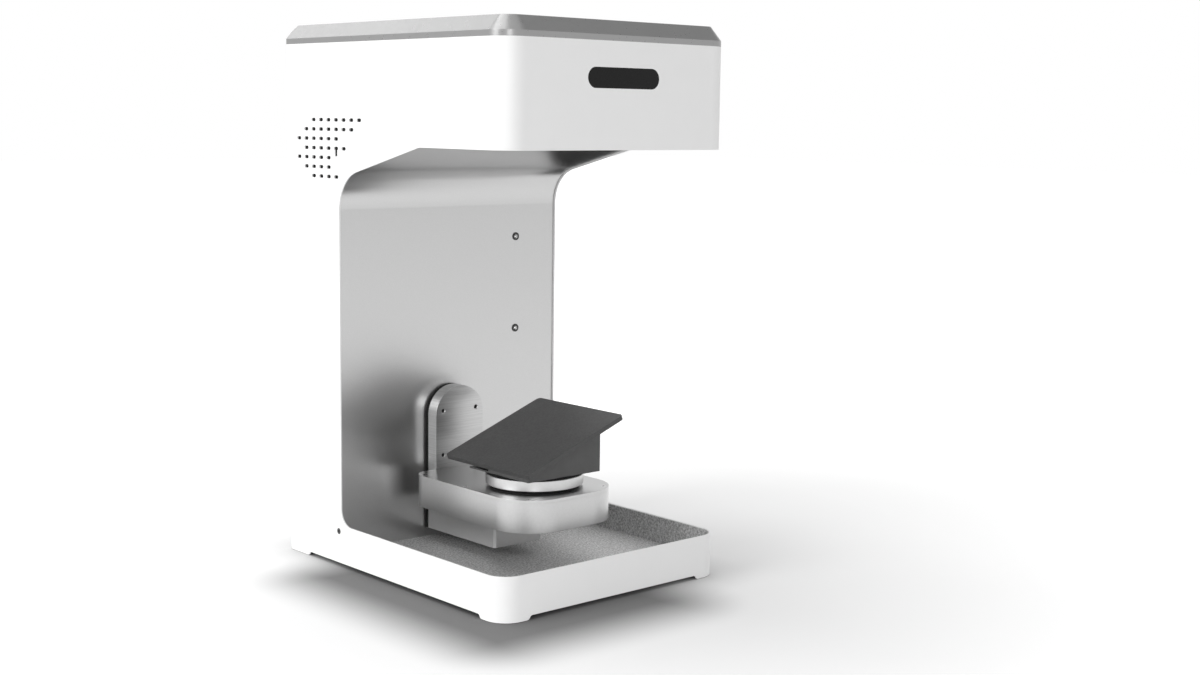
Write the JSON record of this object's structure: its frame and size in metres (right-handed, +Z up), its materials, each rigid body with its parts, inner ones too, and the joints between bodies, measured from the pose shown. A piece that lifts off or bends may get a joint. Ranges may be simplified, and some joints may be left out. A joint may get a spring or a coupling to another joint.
{
  "type": "desktop 3d scanner",
  "caption": "C-shaped desktop 3D scanner: optical head on a column, swing arm with a turntable, wedge and tilted object plate, grey cap and white tray base.",
  "frame": {"origin": "middle of the footprint, on the table under the rubber feet", "axes": "+X to the right of the front face, +Y to the back, +Z up"},
  "size_m": [0.257, 0.33, 0.5],
  "materials": {
    "housing_white": "satin white powder coat",
    "cap_grey": "satin grey",
    "nameplate_black": "glossy black, bare",
    "liner_silver": "satin silver paint",
    "tray_grey": "satin silver grey paint",
    "zinc_sheet": "zinc plated",
    "rubber_black": "matt black",
    "aluminium_satin": "satin anodised",
    "aluminium_brushed": "brushed",
    "aluminium_bright": "bead blasted",
    "aluminium_black": "black anodised",
    "bearing_steel": "ground",
    "screw_steel": "bright",
    "screw_black": "black",
    "motor_black": "satin black",
    "plastic_black": "fine grain black",
    "plastic_dark_grey": "satin dark grey",
    "plate_dark_grey": "dark grey anodised",
    "lens_glass": "coated, dark",
    "window_glass": "clear",
    "board_green": "green circuit board",
    "brass": "turned"
  },
  "bodies": {
    "housing": {"shell_base": "housing_white", "shell_column": "housing_white", "shell_neck": "housing_white", "shell_head": "housing_white", "cap": "cap_grey", "nameplate": "nameplate_black", "rear_panel": "housing_white", "rear_screws": "screw_black", "vent_filters": "rubber_black", "liner": "liner_silver", "liner_screws": "screw_steel", "liner_washers": "screw_black", "side_screws": "screw_black", "pan": "tray_grey", "base_plate": "zinc_sheet", "foot_pads": "rubber_black", "chassis": "zinc_sheet", "bearing_block": "aluminium_satin", "swing_bearings": "bearing_steel", "swing_motor": "motor_black", "swing_belt": "rubber_black", "optics_bar": "zinc_sheet", "projector": "aluminium_black", "projector_lens": "lens_glass", "camera_brackets": "aluminium_satin", "camera_left": "aluminium_black", "camera_right": "aluminium_black", "camera_lenses": "lens_glass", "window": "window_glass", "control_board": "board_green", "board_parts": "plastic_black", "board_posts": "brass", "power_supply": "zinc_sheet", "fan_frame": "plastic_black", "power_inlet": "plastic_black", "switch_housing": "plastic_black", "data_socket": "bearing_steel"},
    "swing_arm": {"swing_shaft": "bearing_steel", "swing_pulley": "aluminium_satin", "swing_plate": "aluminium_brushed", "swing_spacer": "plastic_black", "swing_screws": "screw_black", "arm_body": "aluminium_satin", "arm_cover": "aluminium_satin", "arm_screws": "screw_steel", "motor_box": "aluminium_satin", "table_motor": "motor_black", "table_belt": "rubber_black", "table_bearings": "bearing_steel", "turntable_collar": "plastic_black"},
    "turntable": {"table_spindle": "bearing_steel", "table_pulley": "aluminium_satin", "turntable_disc": "aluminium_bright", "turntable_pad": "rubber_black", "wedge": "plastic_dark_grey", "object_plate": "plate_dark_grey"},
    "swing_drive": {"swing_pinion": "bearing_steel"},
    "table_drive": {"table_pinion": "bearing_steel"},
    "fan": {"fan_rotor": "plastic_black"},
    "rocker": {"power_switch": "plastic_black"}
  },
  "joints": [
    {"name": "swing_tilt", "type": "hinge", "parent": "housing", "child": "swing_arm", "pos_m": [-0.003, 0.0754, 0.1336], "axis": [0, 1, 0], "range_deg": [-50, 50]},
    {"name": "turntable_spin", "type": "hinge", "parent": "swing_arm", "child": "turntable", "pos_m": [0, -0.051, 0.09], "axis": [0, 0, 1], "continuous": true},
    {"name": "swing_pinion_spin", "type": "hinge", "parent": "housing", "child": "swing_drive", "pos_m": [-0.003, 0.117, 0.2246], "axis": [0, 1, 0], "range_deg": [-200, 200]},
    {"name": "table_pinion_spin", "type": "hinge", "parent": "swing_arm", "child": "table_drive", "pos_m": [-0.003, -0.007, 0.065], "axis": [0, 0, 1], "continuous": true},
    {"name": "fan_spin", "type": "hinge", "parent": "housing", "child": "fan", "pos_m": [0.055, 0.155, 0.4275], "axis": [0, 1, 0], "continuous": true},
    {"name": "power_rocker", "type": "hinge", "parent": "housing", "child": "rocker", "pos_m": [-0.07, 0.1588, 0.114], "axis": [1, 0, 0], "range_deg": [-12, 0]}
  ],
  "couplings": [
    {"joint": "swing_pinion_spin", "follows": "swing_tilt", "ratio": 4},
    {"joint": "table_pinion_spin", "follows": "turntable_spin", "ratio": 3}
  ]
}
